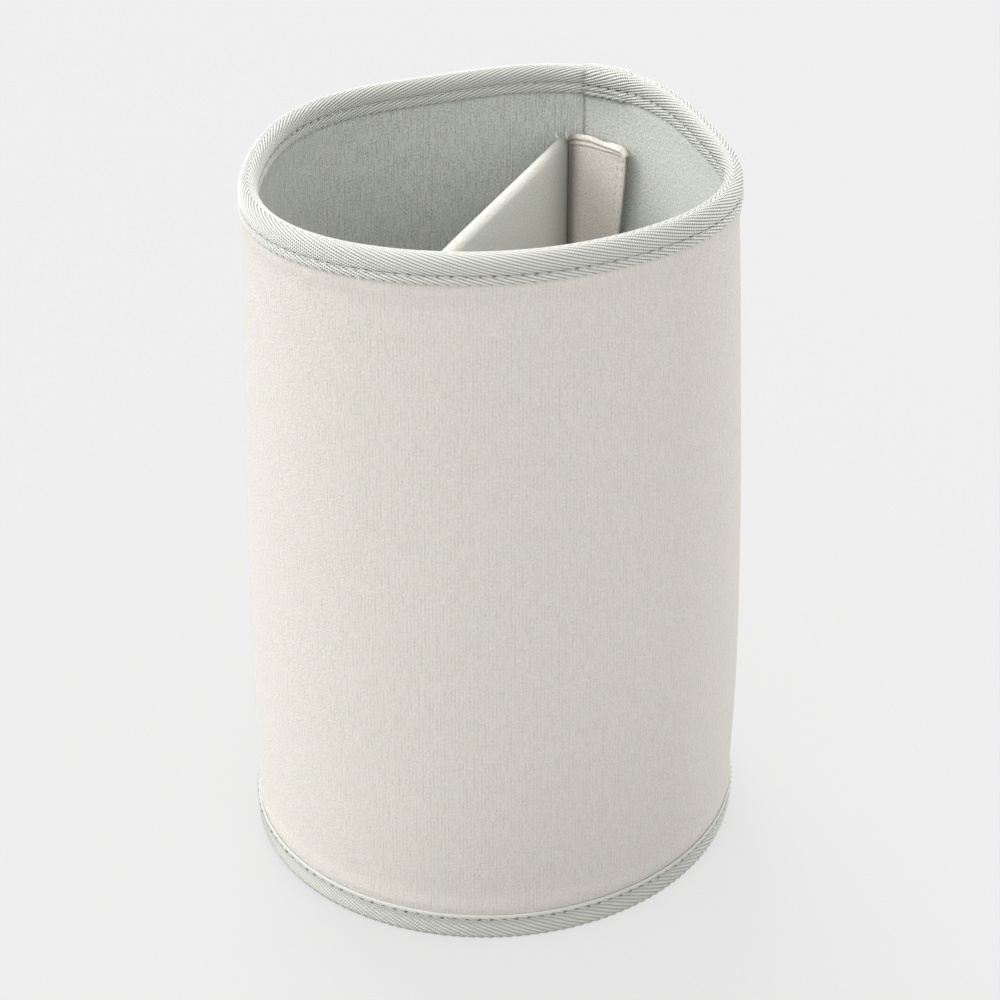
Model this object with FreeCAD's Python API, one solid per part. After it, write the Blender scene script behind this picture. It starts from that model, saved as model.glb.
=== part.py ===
"""A soft-sided standing holder: an open fabric tube with a loose padded divider.

Millimetres, +Z up. The origin is the centre of the foot, on the surface that the
holder stands on. Azimuths are measured from +X towards +Y, in degrees. An inset is a
distance inwards from the outside of the wall, square to it.
"""
import FreeCAD, Part
import math
import os

# ---------------------------------------------------------------- whole holder
HEIGHT = 231.5              # foot to the top of the rim binding
FOOT_RADIUS = 80.0          # mean radius over the foot binding
FOOT_OVAL = 1.5             # how much more it is along the oval's long axis
FOOT_OVAL_AZIMUTH = 52.5
TAPE = 0.8                  # thickness of the twill tape that binds both edges
RIM_MEAN_RADIUS = 73.7      # the binding draws the rim in to less than the foot
RIM_LOBES = (               # waves round the soft rim: (how many, height, azimuth of a crest)
    (1, 0.7, -169.0),
    (2, 3.5, 49.0),
    (3, 1.8, 77.5),
    (4, 2.2, 59.5),
    (5, 1.3, 65.0),
)
RIGHT_BULGE = 3.2           # how far the +X side of the wall stands out where it is widest
LEFT_BULGE = 1.9            # and the -X side
BULGE_SKEW = 0.77           # under 1 puts the widest place below half height
SEAM_AZIMUTH = 66.6         # where the rolled wall closes on itself
SEAM_GAP = 0.6

# ---------------------------------------------------------------- wall, outside to inside
COVER = 0.7
FOAM = 1.3
BOARD = 0.9
LINING = 0.7
WALL = COVER + FOAM + BOARD + LINING

# ---------------------------------------------------------------- edges
RIM_OUTER_LEG = 8.3         # height of the rim binding on the outside
RIM_INNER_LEG = 8.0         # and on the inside
RIM_ROUND = 2.2             # radius of the fold over the top
WALL_TOP_GAP = 1.5          # from the top of the wall's layers to the top of the binding
FOOT_LEG = 9.1              # height of the foot binding on the outside
FOOT_TURN_IN = 9.4          # its width under the base
FOOT_ROUND = 1.5
THREAD = 0.35               # how far a row of stitches stands proud of the cloth
THREAD_WIDTH = 0.6
RIM_STITCH_DROP = 6.0       # from the top of the rim to its stitches, outside
RIM_STITCH_DROP_INSIDE = 5.2
FOOT_STITCH_HEIGHT = 7.5

# ---------------------------------------------------------------- base, bottom to top
BASE_CLEARANCE = 0.2        # between the base's layers and the wall lining
BASE_COVER = 0.7
BASE_BOARD = 1.0
BASE_FOAM = 1.6
BASE_LINING = 0.7

# ---------------------------------------------------------------- divider
DIVIDER_TOP = 209.0
DIVIDER_FLOOR_GAP = 0.4     # between the divider and the base lining
PANEL_COVER = 0.7
PANEL_FOAM = 1.2
PANEL_BOARD = 1.0
PANEL = 2 * PANEL_COVER + 2 * PANEL_FOAM + PANEL_BOARD
RIM_CLEARANCE = 0.35        # from the divider to the inner stitches as it is lifted out
HOOK_STRIP = 0.7
FLANGE = 1.2                # two layers of cloth
FLANGE_WIDTH = 21.0
FLANGE_HEM = 2.6            # height of the rolled hem along the top of a flange
HINGE_GAP = 0.35            # between the panel's face and the folded end of a flange
BACK_HINGE_AZIMUTH = 70.6
FRONT_HINGE_AZIMUTH = -114.3
HOOK_STRIP_MARGIN = 2.6     # bare cloth beside and under the hook strip
HOOK_STRIP_TOP_MARGIN = 8.0
FLANGE_STITCH_INSETS = (1.6, 3.8)   # rows of stitches, from the free edge of a flange
PANEL_STITCH_HEIGHT = 5.0   # the row that closes the sleeve, above its bottom edge

SECTION_POINTS = 24         # points that carry each outline round the wall
SECTION_HEIGHTS = tuple(HEIGHT * k / 4 for k in range(5))
STRIP_POINTS = 7            # points along the curve of a flange

RIM_INNER_INSET = WALL + TAPE
LIFT_INSET = RIM_INNER_INSET + THREAD + RIM_CLEARANCE
FLANGE_INSET = LIFT_INSET + HOOK_STRIP
HINGE_INSET = FLANGE_INSET + FLANGE / 2
DIVIDER_BOTTOM = TAPE + BASE_COVER + BASE_BOARD + BASE_FOAM + BASE_LINING + DIVIDER_FLOOR_GAP


# ---------------------------------------------------------------- the wall's own surface
def wall_radius(azimuth, z):
    """Radius of the wall's outside: a near circle at the foot, a lobed outline at the rim."""
    rise = z / HEIGHT
    foot = FOOT_RADIUS - TAPE
    foot += FOOT_OVAL * math.cos(math.radians(2 * (azimuth - FOOT_OVAL_AZIMUTH)))
    rim = RIM_MEAN_RADIUS
    for count, wave, crest in RIM_LOBES:
        rim += wave * math.cos(math.radians(count * (azimuth - crest)))
    facing = math.cos(math.radians(azimuth))
    bulge = (RIGHT_BULGE if facing > 0 else LEFT_BULGE) * facing ** 2
    return foot * (1 - rise) + rim * rise + bulge * math.sin(math.pi * rise ** BULGE_SKEW)


def wall_point(azimuth, z, inset):
    """Point at an azimuth and height, moved inwards square to the wall's outline."""
    step = 0.5
    angle = math.radians(azimuth)
    radius = wall_radius(azimuth, z)
    slope = (wall_radius(azimuth + step, z) - wall_radius(azimuth - step, z)) / math.radians(2 * step)
    out_x = radius * math.cos(angle) + slope * math.sin(angle)
    out_y = radius * math.sin(angle) - slope * math.cos(angle)
    length = math.hypot(out_x, out_y)
    x = radius * math.cos(angle) - inset * out_x / length
    y = radius * math.sin(angle) - inset * out_y / length
    return FreeCAD.Vector(x, y, z)


def outline(z, inset):
    """Closed smooth wire round the wall at one height."""
    points = [wall_point(360.0 * k / SECTION_POINTS, z, inset) for k in range(SECTION_POINTS)]
    curve = Part.BSplineCurve()
    curve.interpolate(Points=points, PeriodicFlag=True)
    return Part.Wire([curve.toShape()])


CORES = {}


def core(inset):
    """Everything inside the wall's surface at an inset, from the foot to the rim."""
    if inset not in CORES:
        sections = [outline(z, inset) for z in SECTION_HEIGHTS]
        CORES[inset] = Part.makeLoft(sections, True, False)
    return CORES[inset]


def slab(low, high):
    """Box wider than the holder, between two heights."""
    side = 4 * FOOT_RADIUS
    return Part.makeBox(side, side, high - low, FreeCAD.Vector(-side / 2, -side / 2, low))


def ring(outer_inset, inner_inset, low, high):
    """Band of the wall between two insets and two heights."""
    band = slab(low, high)
    return core(outer_inset).common(band).cut(core(inner_inset).common(band))


def seam_slot():
    """Thin radial slot where the two ends of a rolled layer meet."""
    slot = Part.makeBox(2 * FOOT_RADIUS, SEAM_GAP, HEIGHT, FreeCAD.Vector(0, -SEAM_GAP / 2, 0))
    slot.rotate(FreeCAD.Vector(0, 0, 0), FreeCAD.Vector(0, 0, 1), SEAM_AZIMUTH)
    return slot


def edges_at(shape, z):
    """Edges of a shape that lie at one height all along."""
    return [edge for edge in shape.Edges
            if abs(edge.BoundBox.ZMin - z) < 0.01 and abs(edge.BoundBox.ZMax - z) < 0.01]


# ---------------------------------------------------------------- wall layers
def wall_layer(outer_inset, inner_inset):
    """One rolled layer of the wall, open along the seam."""
    return ring(outer_inset, inner_inset, TAPE, HEIGHT - WALL_TOP_GAP).cut(seam_slot())


def side_seam_thread():
    """Threads that close the cover and the lining, square sticks in the seam's slot."""
    threads = []
    side = SEAM_GAP / 2
    ray = FreeCAD.Vector(math.cos(math.radians(SEAM_AZIMUTH)), math.sin(math.radians(SEAM_AZIMUTH)), 0)
    heights = [TAPE] + list(SECTION_HEIGHTS[1:-1]) + [HEIGHT - WALL_TOP_GAP]
    for inset in (COVER / 2, WALL - LINING / 2):
        sections = []
        for z in heights:
            middle = ray * wall_point(SEAM_AZIMUTH, z, inset).dot(ray)
            square = Part.makePlane(side, side, FreeCAD.Vector(-side / 2, -side / 2, 0))
            square.rotate(FreeCAD.Vector(0, 0, 0), FreeCAD.Vector(0, 0, 1), SEAM_AZIMUTH)
            square.translate(middle + FreeCAD.Vector(0, 0, z))
            sections.append(square.OuterWire)
        threads.append(Part.makeLoft(sections, True, False))
    return Part.makeCompound(threads)


# ---------------------------------------------------------------- bound edges
def rim_binding():
    """Tape folded over the top edge, longer outside than inside."""
    low = HEIGHT - RIM_OUTER_LEG
    block = ring(-TAPE, RIM_INNER_INSET, low, HEIGHT)
    block = block.makeFillet(RIM_ROUND, edges_at(block, HEIGHT))
    wall_space = ring(0.0, WALL, low - 1, HEIGHT - WALL_TOP_GAP)
    under_inner_leg = core(WALL).common(slab(low - 1, HEIGHT - RIM_INNER_LEG))
    return block.cut(wall_space).cut(under_inner_leg)


def stitch_ring(outer_inset, inner_inset, z):
    """Row of stitches round the wall, as one flat thread."""
    return ring(outer_inset, inner_inset, z - THREAD_WIDTH / 2, z + THREAD_WIDTH / 2)


def rim_stitches():
    """The needle thread outside and the bobbin thread inside."""
    outside = stitch_ring(-TAPE - THREAD, -TAPE, HEIGHT - RIM_STITCH_DROP)
    inside = stitch_ring(RIM_INNER_INSET, RIM_INNER_INSET + THREAD, HEIGHT - RIM_STITCH_DROP_INSIDE)
    return Part.makeCompound([outside, inside])


def foot_binding():
    """Tape folded under the bottom edge, flush round the foot."""
    block = core(-TAPE).common(slab(0, FOOT_LEG))
    block = block.makeFillet(FOOT_ROUND, edges_at(block, 0))
    inside = core(0.0).common(slab(TAPE, FOOT_LEG + 1))
    hole = core(FOOT_TURN_IN).common(slab(0, FOOT_LEG))
    return block.cut(inside).cut(hole)


def foot_stitches():
    """The row just under the top edge of the foot binding."""
    return stitch_ring(-TAPE - THREAD, -TAPE, FOOT_STITCH_HEIGHT)


# ---------------------------------------------------------------- base
def base_discs():
    """The base's layers, bottom to top, each a round sheet that lies on the one below."""
    layers = {}
    z = TAPE
    for name, thickness in (("base_cover", BASE_COVER), ("base_board", BASE_BOARD),
                            ("base_foam", BASE_FOAM), ("base_lining", BASE_LINING)):
        layers[name] = core(WALL + BASE_CLEARANCE).common(slab(z, z + thickness))
        z += thickness
    return layers


# ---------------------------------------------------------------- divider panel
def hinge_point(azimuth):
    """Fold line of a flange, as a point at the foot."""
    point = wall_point(azimuth, HEIGHT, HINGE_INSET)
    return FreeCAD.Vector(point.x, point.y, 0)


def panel_frame():
    """Placement of the panel: +X along it from back to front, +Y to its flange side."""
    back = hinge_point(BACK_HINGE_AZIMUTH)
    front = hinge_point(FRONT_HINGE_AZIMUTH)
    along = math.degrees(math.atan2(front.y - back.y, front.x - back.x))
    return FreeCAD.Placement(back, FreeCAD.Rotation(FreeCAD.Vector(0, 0, 1), along))


def folded_sheet(outer_half, inner_half, bottom):
    """Sheet folded over the top of the panel: an upside-down U, or a bar if it has no inside."""
    reach = 2 * FOOT_RADIUS
    middle = -(FLANGE / 2 + HINGE_GAP + PANEL / 2)
    crest = DIVIDER_TOP - PANEL / 2

    def bar(half, low):
        upright = Part.makeBox(2 * reach, 2 * half, crest - low,
                               FreeCAD.Vector(-reach, middle - half, low))
        top = Part.makeCylinder(half, 2 * reach, FreeCAD.Vector(-reach, middle, crest),
                                FreeCAD.Vector(1, 0, 0))
        return upright.fuse(top).removeSplitter()

    sheet = bar(outer_half, bottom)
    if inner_half > 0:
        sheet = sheet.cut(bar(inner_half, bottom - 1))
    sheet.Placement = panel_frame()
    return sheet


def lift_envelope(inset):
    """Upright prism with the rim's inside outline: what can be lifted past the rim."""
    face = Part.Face(outline(HEIGHT, inset))
    return face.extrude(FreeCAD.Vector(0, 0, -HEIGHT))


def divider_panel():
    """Cover, foam and board of the panel, each cut to pass the rim."""
    envelope = lift_envelope(LIFT_INSET)
    half = PANEL / 2
    layers = {
        "divider_cover": (half, half - PANEL_COVER),
        "divider_foam": (half - PANEL_COVER, half - PANEL_COVER - PANEL_FOAM),
        "divider_board": (half - PANEL_COVER - PANEL_FOAM, 0),
    }
    return {name: folded_sheet(outer, inner, DIVIDER_BOTTOM).common(envelope)
            for name, (outer, inner) in layers.items()}


def divider_stitches():
    """The rows that close the sleeve near its bottom edge, one on each face."""
    envelope = lift_envelope(LIFT_INSET + HOOK_STRIP + FLANGE + THREAD)
    middle = -(FLANGE / 2 + HINGE_GAP + PANEL / 2)
    low = DIVIDER_BOTTOM + PANEL_STITCH_HEIGHT
    rows = []
    for y in (middle - PANEL / 2 - THREAD, middle + PANEL / 2):
        row = Part.makeBox(4 * FOOT_RADIUS, THREAD, THREAD_WIDTH, FreeCAD.Vector(-FOOT_RADIUS, y, low))
        row.Placement = panel_frame()
        rows.append(row.common(envelope))
    return Part.makeCompound(rows)


# ---------------------------------------------------------------- divider flanges
def azimuth_along(start, distance, turn):
    """Azimuth reached after a distance along the rim, turning +1 or -1 about +Z."""
    azimuth = start
    step = 0.25
    travelled = 0.0
    here = wall_point(azimuth, HEIGHT, HINGE_INSET)
    while travelled < distance:
        azimuth += turn * step
        there = wall_point(azimuth, HEIGHT, HINGE_INSET)
        travelled += here.distanceToPoint(there)
        here = there
    return azimuth


def curved_strip(start, end, outer_inset, inner_inset, low, high):
    """Upright strip that follows the rim from one azimuth to another."""
    azimuths = [start + (end - start) * k / (STRIP_POINTS - 1) for k in range(STRIP_POINTS)]
    sides = []
    for inset in (outer_inset, inner_inset):
        points = [wall_point(azimuth, HEIGHT, inset) for azimuth in azimuths]
        for point in points:
            point.z = low
        curve = Part.BSplineCurve()
        curve.interpolate(Points=points)
        sides.append((curve.toShape(), points))
    (outer, outer_points), (inner, inner_points) = sides
    ends = [Part.makeLine(outer_points[k], inner_points[k]) for k in (0, -1)]
    face = Part.Face(Part.Wire(Part.__sortEdges__([outer, inner] + ends)))
    return face.extrude(FreeCAD.Vector(0, 0, high - low))


def flange(hinge_azimuth, turn):
    """Double cloth with a rounded fold at the hinge and a rolled hem along its top."""
    end = azimuth_along(hinge_azimuth, FLANGE_WIDTH, turn)
    leaf = curved_strip(hinge_azimuth, end, FLANGE_INSET, FLANGE_INSET + FLANGE,
                        DIVIDER_BOTTOM, DIVIDER_TOP)
    fold = Part.makeCylinder(FLANGE / 2, DIVIDER_TOP - DIVIDER_BOTTOM,
                             hinge_point(hinge_azimuth) + FreeCAD.Vector(0, 0, DIVIDER_BOTTOM))
    hem_start = azimuth_along(hinge_azimuth, FLANGE, turn)
    hem = curved_strip(hem_start, end, LIFT_INSET, FLANGE_INSET + FLANGE + THREAD,
                       DIVIDER_TOP - FLANGE_HEM, DIVIDER_TOP)
    return leaf.fuse([fold, hem]).removeSplitter()


def hook_strip(hinge_azimuth, turn):
    """Hook tape sewn to the wall side of a flange."""
    start = azimuth_along(hinge_azimuth, HOOK_STRIP_MARGIN, turn)
    end = azimuth_along(hinge_azimuth, FLANGE_WIDTH - HOOK_STRIP_MARGIN, turn)
    return curved_strip(start, end, LIFT_INSET, FLANGE_INSET,
                        DIVIDER_BOTTOM + HOOK_STRIP_MARGIN, DIVIDER_TOP - HOOK_STRIP_TOP_MARGIN)


def flange_stitches(hinge_azimuth, turn):
    """Two upright rows of stitches near the free edge of a flange."""
    face_inset = FLANGE_INSET + FLANGE
    rows = []
    for margin in FLANGE_STITCH_INSETS:
        start = azimuth_along(hinge_azimuth, FLANGE_WIDTH - margin, turn)
        end = azimuth_along(hinge_azimuth, FLANGE_WIDTH - margin + THREAD_WIDTH, turn)
        rows.append(curved_strip(start, end, face_inset, face_inset + THREAD,
                                 DIVIDER_BOTTOM + HOOK_STRIP_MARGIN, DIVIDER_TOP - FLANGE_HEM))
    return Part.makeCompound(rows)


# ---------------------------------------------------------------- all pieces
def build():
    """Every piece of the holder, by name."""
    pieces = {
        "outer_cover": wall_layer(0.0, COVER),
        "wall_foam": wall_layer(COVER, COVER + FOAM),
        "wall_board": wall_layer(COVER + FOAM, COVER + FOAM + BOARD),
        "wall_lining": wall_layer(COVER + FOAM + BOARD, WALL),
        "side_seam_thread": side_seam_thread(),
        "rim_binding": rim_binding(),
        "rim_stitches": rim_stitches(),
        "foot_binding": foot_binding(),
        "foot_stitches": foot_stitches(),
        "divider_stitches": divider_stitches(),
    }
    pieces.update(base_discs())
    pieces.update(divider_panel())
    for side, azimuth, turn in (("back", BACK_HINGE_AZIMUTH, -1), ("front", FRONT_HINGE_AZIMUTH, 1)):
        pieces[side + "_flange"] = flange(azimuth, turn)
        pieces[side + "_hook_strip"] = hook_strip(azimuth, turn)
        pieces[side + "_flange_stitches"] = flange_stitches(azimuth, turn)
    return pieces


os.makedirs("parts", exist_ok=True)
for name, shape in build().items():
    shape.exportStep("parts/" + name + ".step")
    print(name, "valid" if shape.isValid() else "NOT VALID", "solids", len(shape.Solids),
          "volume %.0f" % shape.Volume)
for side, azimuth in (("back", BACK_HINGE_AZIMUTH), ("front", FRONT_HINGE_AZIMUTH)):
    print(side, "hinge at", hinge_point(azimuth))
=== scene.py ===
"""Looks of a soft-sided standing holder with a loose padded divider.

Shapes are worked out in millimetres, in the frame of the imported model, and are turned to
metres as they go into a mesh. Azimuths are degrees from +X towards +Y, and an inset is a
distance inwards from the outside of the wall, square to it.
"""
import math

import bmesh
import bpy
import numpy as np
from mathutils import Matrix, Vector


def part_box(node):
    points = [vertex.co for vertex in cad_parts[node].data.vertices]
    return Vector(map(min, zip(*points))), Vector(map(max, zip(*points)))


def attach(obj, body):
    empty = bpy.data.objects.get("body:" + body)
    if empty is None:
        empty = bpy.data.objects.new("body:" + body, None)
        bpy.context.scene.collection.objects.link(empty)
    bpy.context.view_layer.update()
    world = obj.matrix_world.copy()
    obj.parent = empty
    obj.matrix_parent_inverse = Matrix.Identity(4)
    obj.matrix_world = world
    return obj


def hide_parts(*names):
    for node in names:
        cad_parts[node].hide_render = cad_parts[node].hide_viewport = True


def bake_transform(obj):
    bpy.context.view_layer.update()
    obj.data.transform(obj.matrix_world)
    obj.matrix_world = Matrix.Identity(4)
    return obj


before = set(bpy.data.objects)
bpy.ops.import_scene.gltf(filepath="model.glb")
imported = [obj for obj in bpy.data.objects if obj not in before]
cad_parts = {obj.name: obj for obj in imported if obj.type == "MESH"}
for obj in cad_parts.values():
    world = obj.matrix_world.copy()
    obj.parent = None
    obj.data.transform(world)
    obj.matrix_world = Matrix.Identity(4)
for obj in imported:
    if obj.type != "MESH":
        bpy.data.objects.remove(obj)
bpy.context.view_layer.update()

bl_info = {
    "name": "Divided fabric holder",
    "version": (1, 0, 0),
    "blender": (4, 5, 0),
    "location": "3D View > Sidebar > Holder",
    "description": "Dresses a standing fabric holder in its knit, herringbone tape and stitches",
    "category": "Object",
}

MM = 0.001
CLOTH_MAP = "cloth"         # UV map of each new piece, in millimetres along and across its cloth


def span(node, axis=2):
    """Lowest and highest coordinate of a frame node along one axis, in millimetres."""
    low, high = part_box(node)
    return low[axis] / MM, high[axis] / MM


# ---------------------------------------------------------------- sizes that the frame gives
THREAD_WIDTH = 0.6
HEIGHT = span("rim_binding")[1]
RIM_TAPE_LOW = span("rim_binding")[0]
RIM_STITCH_OUTSIDE = span("rim_stitches")[0] + THREAD_WIDTH / 2
RIM_STITCH_INSIDE = span("rim_stitches")[1] - THREAD_WIDTH / 2
FOOT_TAPE_TOP = span("foot_binding")[1]
FOOT_STITCH = sum(span("foot_stitches")) / 2
LAYERS_LOW, LAYERS_HIGH = span("outer_cover")
BASE_COVER_LOW, BASE_COVER_HIGH = span("base_cover")
BASE_LINING_LOW, BASE_LINING_HIGH = span("base_lining")
DIVIDER_LOW, DIVIDER_TOP = span("divider_cover")
PANEL_STITCH = sum(span("divider_stitches")) / 2
HOOK_LOW, HOOK_HIGH = span("back_hook_strip")
FLANGE_TOP = span("back_flange")[1]

# ---------------------------------------------------------------- the wall's own surface
TAPE = 0.8
FOOT_RADIUS = 80.0
FOOT_OVAL = 1.5
FOOT_OVAL_AZIMUTH = 52.5
RIM_MEAN_RADIUS = 73.7
RIM_LOBES = (               # waves round the soft rim: (how many, height, azimuth of a crest)
    (1, 0.7, -169.0),
    (2, 3.5, 49.0),
    (3, 1.8, 77.5),
    (4, 2.2, 59.5),
    (5, 1.3, 65.0),
)
RIGHT_BULGE = 3.2
LEFT_BULGE = 1.9
BULGE_SKEW = 0.77
SEAM_AZIMUTH = 67.8         # where the rolled cloths close on themselves
JOIN_AZIMUTH = 68.2         # where the ends of the tapes lap

# ---------------------------------------------------------------- layers, as insets
COVER = 0.7
WALL = 3.6
LINING = 0.7
RIM_INNER_INSET = WALL + TAPE
BASE_INSET = WALL + 0.2
LIFT_INSET = 5.1            # everything further in can be lifted out past the rim
FLANGE_INSET = 5.8          # wall side of a flange's cloth
FLANGE = 1.2
FLANGE_WIDTH = 21.0
FLANGE_HEM = 2.6
FLANGE_TUCK = 1.4           # how far its cloth runs back past the hinge, into the pad
FLANGE_TRIM = 0.5           # how much narrower than FLANGE_WIDTH it is at the top
FLANGE_TAPER = 3.8          # how much narrower it gets below, over TAPER_HEIGHT
TAPER_HEIGHT = 55.0
HOOK_TAPE = 0.42            # thickness of the hook strip
FLANGE_STITCH_INSETS = (1.6, 3.8)
HOOK_STRIP_MARGIN = 2.6
HINGE_INSET = FLANGE_INSET + FLANGE / 2
PANEL = 4.8
HINGE_GAP = 0.35
PANEL_MIDDLE = -(FLANGE / 2 + HINGE_GAP + PANEL / 2)
FLANGES = {                 # azimuth of the hinge, and which way the leaf goes from it
    "back": (70.6, -1),
    "front": (-114.3, 1),
}

# ---------------------------------------------------------------- weave and sewing
RIB_ALONG = 2.88            # from rib to rib of the herringbone, along the tape
RIM_RIB_RUN = 3.1           # how far a rib runs along the tape for each mm across it
FOOT_RIB_RUN = -2.1         # steeper round the foot, where the tape is sewn on the other way up
PICK = 0.72                 # from weft to weft
RIB_DEPTH = 0.17
RIB_COLUMNS = 6             # columns of the mesh for each rib
JOIN_STEP = 0.75            # how far the doubled end of the rim tape stands up
JOIN_LENGTH = 17.0
RIM_SMOOTH_FROM = 20.0      # distance from the tape's middle where its plain selvage begins
FOOT_SMOOTH_FROM = FOOT_TAPE_TOP - 1.3
WALE = 1.1                  # from wale to wale of the cover, as the photograph shows it
LINING_WALE = 1.05          # of the lining
FINE_WALE = 0.9             # of the divider and its flanges
HOOK_YARN = 0.5             # from yarn to yarn of the hook tape
YARN_LUMP = 0.8             # size of the uneven places in the tape's yarn
FOAM_CELL = 0.9
SHEET_GRAIN = 1.5
STITCH = 3.8                # from needle hole to needle hole
STITCH_SHOWN = 0.8 * STITCH     # length of the thread that lies on the cloth
STITCH_SUNK = 0.12          # how deep a stitch lies in the tape
SEAM_SUNK = 0.38            # how deep the side seam's stitches lie in the knit
FLANGE_STITCH = 0.8 * STITCH    # the flanges are sewn with a shorter stitch
NEEDLE_HOLE = 0.316         # reach of a row of needle holes across the tape


def ease(share):
    """Smooth step from 0 to 1, flat at both ends."""
    share = np.clip(share, 0, 1)
    return share * share * (3 - 2 * share)


def unit(vectors):
    """Vectors at length one."""
    return vectors / np.linalg.norm(vectors, axis=-1, keepdims=True)


def wall_radius(azimuth, z):
    """Radius of the wall's outside: a near circle at the foot, a lobed outline at the rim.

    The two are mixed by height, and a sine of the height swells the left and right sides.
    """
    rise = z / HEIGHT
    angle = np.radians(azimuth)
    foot = FOOT_RADIUS - TAPE + FOOT_OVAL * np.cos(2 * (angle - math.radians(FOOT_OVAL_AZIMUTH)))
    rim = RIM_MEAN_RADIUS
    for count, wave, crest in RIM_LOBES:
        rim = rim + wave * np.cos(count * (angle - math.radians(crest)))
    facing = np.cos(angle)
    bulge = np.where(facing > 0, RIGHT_BULGE, LEFT_BULGE) * facing ** 2
    swell = np.sin(math.pi * np.clip(rise, 0, 1) ** BULGE_SKEW)
    return foot * (1 - rise) + rim * rise + bulge * swell


def wall_point(azimuth, z, inset):
    """Points at azimuths and heights, moved inwards square to the wall's outline."""
    azimuth, z, inset = np.broadcast_arrays(azimuth, z, inset)
    step = 0.5
    angle = np.radians(azimuth)
    radius = wall_radius(azimuth, z)
    gain = wall_radius(azimuth + step, z) - wall_radius(azimuth - step, z)
    slope = gain / math.radians(2 * step)
    out_x = radius * np.cos(angle) + slope * np.sin(angle)
    out_y = radius * np.sin(angle) - slope * np.cos(angle)
    length = np.hypot(out_x, out_y)
    x = radius * np.cos(angle) - inset * out_x / length
    y = radius * np.sin(angle) - inset * out_y / length
    return np.stack([x, y, z], axis=-1)


def walk(start, turn, z, inset):
    """Azimuths from start through a turn, and the distance walked along the wall to each."""
    azimuth = start + np.linspace(0, turn, 1441)
    steps = np.linalg.norm(np.diff(wall_point(azimuth, z, inset), axis=0), axis=1)
    return azimuth, np.concatenate([[0], np.cumsum(steps)])


def repeats_round(z, inset, repeat):
    """The whole number of repeats of a pattern that goes once round the wall."""
    return round(walk(SEAM_AZIMUTH, 360, z, inset)[1][-1] / repeat)


HINGES = {end: wall_point(FLANGES[end][0], HEIGHT, HINGE_INSET)[:2] for end in FLANGES}
PANEL_ALONG = (HINGES["front"] - HINGES["back"]) / np.linalg.norm(HINGES["front"] - HINGES["back"])
PANEL_OUT = np.array([-PANEL_ALONG[1], PANEL_ALONG[0]])
PANEL_LENGTH = np.linalg.norm(HINGES["front"] - HINGES["back"])


def panel_point(x, y, z):
    """Points from distances along the panel and out to its flanges' side, from the back hinge."""
    x, y, z = np.broadcast_arrays(x, y, z)
    flat = HINGES["back"] + x[..., None] * PANEL_ALONG + y[..., None] * PANEL_OUT
    return np.concatenate([flat, z[..., None]], axis=-1)


def panel_reach(end, y):
    """How far along the panel the rim lets an end of it reach, at distances y out."""
    azimuth = FLANGES[end][0] + np.linspace(-40, 40, 321)
    flat = wall_point(azimuth, HEIGHT, LIFT_INSET)[:, :2] - HINGES["back"]
    out = flat @ PANEL_OUT
    order = np.argsort(out)
    return np.interp(y, out[order], (flat @ PANEL_ALONG)[order])


def flange_point(end, distance, inward, z):
    """Points of a flange: a distance from its hinge along the rim, and a depth into the mouth."""
    azimuth, turn = FLANGES[end]
    before = 6.0
    azimuths, walked_to = walk(azimuth - turn * before, turn * 30, HEIGHT, HINGE_INSET)
    start = np.interp(before, np.abs(azimuths - azimuths[0]), walked_to)
    at = np.interp(distance + start, walked_to, azimuths)
    at, inward, z = np.broadcast_arrays(at, inward, z)
    points = wall_point(at, HEIGHT, HINGE_INSET + inward)
    return np.concatenate([points[..., :2], z[..., None]], axis=-1)


# ---------------------------------------------------------------- meshes
def signed_volume(points, faces):
    """Volume inside four-cornered faces, below zero where they point inwards."""
    a, b, c, d = (points[faces[:, k]] for k in range(4))
    return float((np.cross(b, c) * a).sum() + (np.cross(c, d) * a).sum()) / 6


def face_mesh(name, points, faces, cloth):
    """Smooth mesh of four-cornered faces, in millimetres, with their cloth coordinates.

    The faces are turned round if they point into the volume that they close.
    """
    if signed_volume(points, faces) < 0:
        faces, cloth = faces[:, ::-1], cloth[:, ::-1]
    mesh = bpy.data.meshes.new(name)
    mesh.from_pydata((points * MM).tolist(), [], faces.tolist())
    layer = mesh.uv_layers.new(name=CLOTH_MAP)
    layer.data.foreach_set("uv", np.ascontiguousarray(cloth, np.float32).ravel())
    mesh.polygons.foreach_set("use_smooth", np.ones(len(faces), bool))
    work = bmesh.new()
    work.from_mesh(mesh)
    bmesh.ops.remove_doubles(work, verts=work.verts, dist=1e-6)
    work.to_mesh(mesh)
    work.free()
    return mesh


def grid_mesh(name, points, u, v, closed=(True, True)):
    """Mesh on a grid of points (rows, columns, 3); rows and columns that meet are closed.

    u and v are cloth coordinates, with one more row or column than points in each closed
    direction.
    """
    rows, columns = points.shape[:2]
    row, column = np.meshgrid(np.arange(rows - (not closed[0])),
                              np.arange(columns - (not closed[1])), indexing="ij")
    next_row, next_column = (row + 1) % rows, (column + 1) % columns
    faces = np.stack([row * columns + column, row * columns + next_column,
                      next_row * columns + next_column, next_row * columns + column], -1)
    corners = ((row, column), (row, column + 1), (row + 1, column + 1), (row + 1, column))
    cloth = np.stack([np.stack([u[at], v[at]], -1) for at in corners], axis=-2)
    return face_mesh(name, points.reshape(-1, 3), faces.reshape(-1, 4), cloth.reshape(-1, 4, 2))


def place(mesh, material, body, stands_for=()):
    """Puts a mesh in the scene as a piece that moves with a body and wears a slot's finish."""
    piece = bpy.data.objects.new(mesh.name, mesh)
    bpy.context.scene.collection.objects.link(piece)
    mesh.materials.append(material)
    if body:
        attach(piece, body)
    if stands_for:
        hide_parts(*stands_for)
    return piece


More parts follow.
